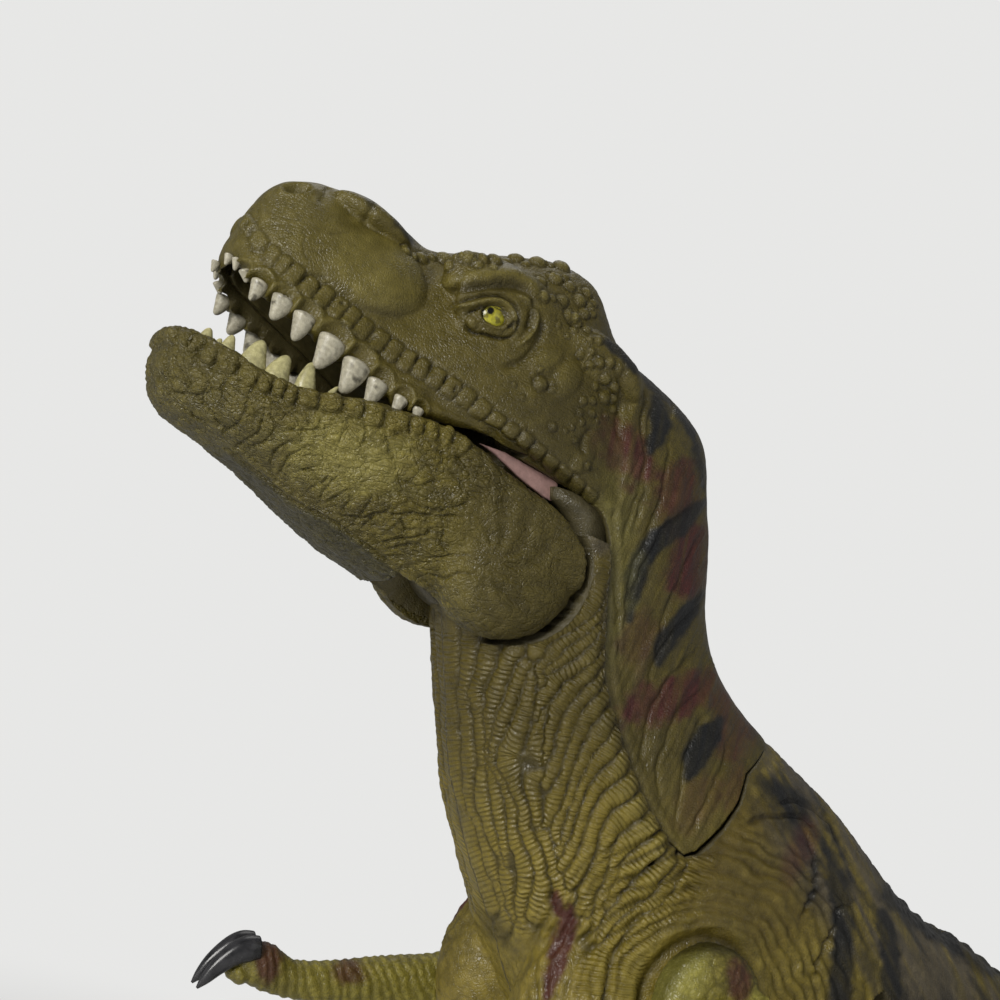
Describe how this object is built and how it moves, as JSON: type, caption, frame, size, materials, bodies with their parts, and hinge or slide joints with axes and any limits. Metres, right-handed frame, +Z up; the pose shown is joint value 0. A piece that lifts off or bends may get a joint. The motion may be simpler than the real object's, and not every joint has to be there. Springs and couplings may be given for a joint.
{
  "type": "toy dinosaur figure",
  "caption": "Two-legged toy dinosaur with a rocking head and nape shell, a hinged toothed jaw, and turning arms, legs and tail.",
  "frame": {"origin": "on the ground under the middle of the figure's outline", "axes": "+X from the nose to the tail tip, +Y toward the animal's right side, +Z up"},
  "size_m": [0.3704, 0.0748, 0.2074],
  "materials": {
    "hide": "moulded olive plastic with a soft satin sheen and painted stripes",
    "throat": "moulded yellow-olive plastic with a soft satin sheen",
    "gum": "dull pink plastic",
    "steel": "plain wire, pins and screws"
  },
  "bodies": {
    "torso": {"torso_left_shell": "throat", "torso_right_shell": "throat", "jaw_axle": "steel", "torso_screw_1": "steel", "torso_screw_2": "steel", "torso_screw_3": "steel", "torso_screw_4": "steel", "torso_screw_5": "steel", "return_spring": "steel"},
    "head": {"head_shell": "hide", "mouth_roof": "gum"},
    "jaw": {"lower_jaw": "hide", "tongue": "gum"},
    "left_arm": {"left_arm": "hide"},
    "right_arm": {"right_arm": "hide"},
    "left_leg": {"left_leg_inner": "hide", "left_leg_outer": "hide", "left_hip_washer": "steel", "left_hip_screw": "steel"},
    "right_leg": {"right_leg_inner": "hide", "right_leg_outer": "hide", "right_hip_washer": "steel", "right_hip_screw": "steel"},
    "tail": {"tail": "hide"}
  },
  "joints": [
    {"name": "head_tilt", "type": "hinge", "parent": "torso", "child": "head", "pos_m": [-0.129, 0, 0.16], "axis": [0, 1, 0], "range_deg": [0, 6], "stiffness_Nm_per_rad": 0.15, "springref_deg": -11.46, "deforming": ["return_spring"]},
    {"name": "jaw_open", "type": "hinge", "parent": "torso", "child": "jaw", "pos_m": [-0.129, 0, 0.16], "axis": [0, -1, 0], "range_deg": [0, 9]},
    {"name": "left_shoulder", "type": "hinge", "parent": "torso", "child": "left_arm", "pos_m": [-0.0795, -0.022, 0.11], "axis": [0, 1, 0], "range_deg": [-18, 102]},
    {"name": "right_shoulder", "type": "hinge", "parent": "torso", "child": "right_arm", "pos_m": [-0.0795, 0.022, 0.11], "axis": [0, 1, 0], "range_deg": [-80, 40]},
    {"name": "left_hip", "type": "hinge", "parent": "torso", "child": "left_leg", "pos_m": [-0.025, -0.0185, 0.094], "axis": [0, 1, 0], "range_deg": [-25, 25]},
    {"name": "right_hip", "type": "hinge", "parent": "torso", "child": "right_leg", "pos_m": [-0.025, 0.0185, 0.094], "axis": [0, 1, 0], "range_deg": [-25, 25]},
    {"name": "tail_swivel", "type": "hinge", "parent": "torso", "child": "tail", "pos_m": [0.01654, 0, 0.1012], "axis": [0.9412, 0, -0.3379], "range_deg": [-30, 30]}
  ]
}
